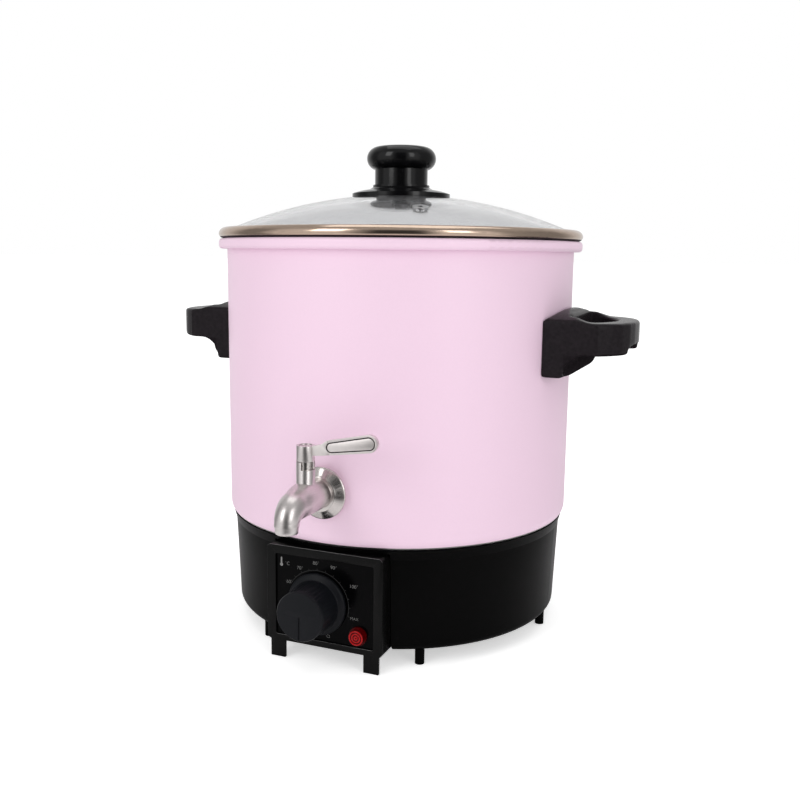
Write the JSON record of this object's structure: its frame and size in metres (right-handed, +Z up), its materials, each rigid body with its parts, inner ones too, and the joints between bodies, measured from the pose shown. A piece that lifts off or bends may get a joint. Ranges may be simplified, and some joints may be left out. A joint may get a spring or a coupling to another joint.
{
  "type": "candle wax melter",
  "caption": "Electric wax melting pot with a draw-off tap and lever, side handles and a glass lid, on a black heated base with a dial thermostat and pilot lamp.",
  "frame": {"origin": "on the pot's axis at ground level, under the feet", "axes": "+Z up; -Y is the front, with the tap and the thermostat; +X is to the right seen from the front, and the handles point along X; the mains inlet is at +Y"},
  "size_m": [0.36, 0.3252, 0.3554],
  "materials": {
    "pot_coating": "satin",
    "black_gloss": "gloss",
    "base_black": "satin",
    "base_cover": "matt",
    "panel_black": "gloss",
    "knob_black": "matt",
    "tap_steel": "satin",
    "rim_steel": "polished",
    "fixings": "plated",
    "lid_glass": "clear",
    "silicone": "matt",
    "dark_rubber": "matt",
    "aluminium": "mill",
    "element_sheath": "heat darkened",
    "copper": "bright",
    "terminal_brass": "bright",
    "ceramic": "matt",
    "lamp_red": "translucent",
    "lamp_white": "matt",
    "wire_insulation": "satin"
  },
  "bodies": {
    "body": {"pot": "pot_coating", "handle_left": "black_gloss", "handle_right": "black_gloss", "handle_screws": "fixings", "handle_washers": "fixings", "tap_body": "tap_steel", "tap_flange": "tap_steel", "tap_outer_seal": "silicone", "tap_inner_seal": "silicone", "tap_nut": "tap_steel", "base_shell": "base_black", "base_cover": "base_cover", "base_feet": "base_black", "cover_screws": "fixings", "pot_studs": "fixings", "stud_nuts": "fixings", "control_box": "base_black", "control_box_screws": "fixings", "control_panel": "panel_black", "thermostat_body": "ceramic", "thermostat_nut": "fixings", "capillary_tube": "copper", "sensor_bulb": "copper", "bulb_clip": "fixings", "pilot_lamp_lens": "lamp_red", "pilot_lamp_body": "lamp_white", "pilot_lamp_clip": "fixings", "heat_spreader": "aluminium", "heating_element": "element_sheath", "element_clamp": "aluminium", "clamp_nut": "fixings", "shield_spacer": "fixings", "heat_shield": "aluminium", "shield_nut": "fixings", "thermal_cutout": "ceramic", "terminal_block": "ceramic", "terminal_screws": "terminal_brass", "block_screws": "fixings", "wiring": "wire_insulation", "cord_gland": "base_black", "gland_nut": "base_black"},
    "lid": {"lid_glass": "lid_glass", "lid_rim_band": "rim_steel", "lid_vent_eyelet": "rim_steel", "lid_knob": "black_gloss", "lid_knob_base": "black_gloss", "lid_knob_seal": "dark_rubber", "lid_knob_screw": "fixings"},
    "tap_handle": {"tap_valve_plug": "tap_steel", "tap_stem_rings": "dark_rubber", "tap_cap": "tap_steel", "tap_lever": "tap_steel", "tap_cap_screw": "tap_steel"},
    "knob": {"thermostat_knob": "knob_black", "thermostat_shaft": "fixings"}
  },
  "joints": [
    {"name": "lid_lift", "type": "slide", "parent": "body", "child": "lid", "axis": [0, 0, 1], "range_m": [0, 0.12]},
    {"name": "tap_turn", "type": "hinge", "parent": "body", "child": "tap_handle", "pos_m": [0, -0.1555, 0.147], "axis": [0, 0, 1], "range_deg": [-90, 0]},
    {"name": "thermostat_turn", "type": "hinge", "parent": "body", "child": "knob", "pos_m": [-0.005, -0.131, 0.0425], "axis": [0, 1, 0], "range_deg": [0, 280]}
  ]
}
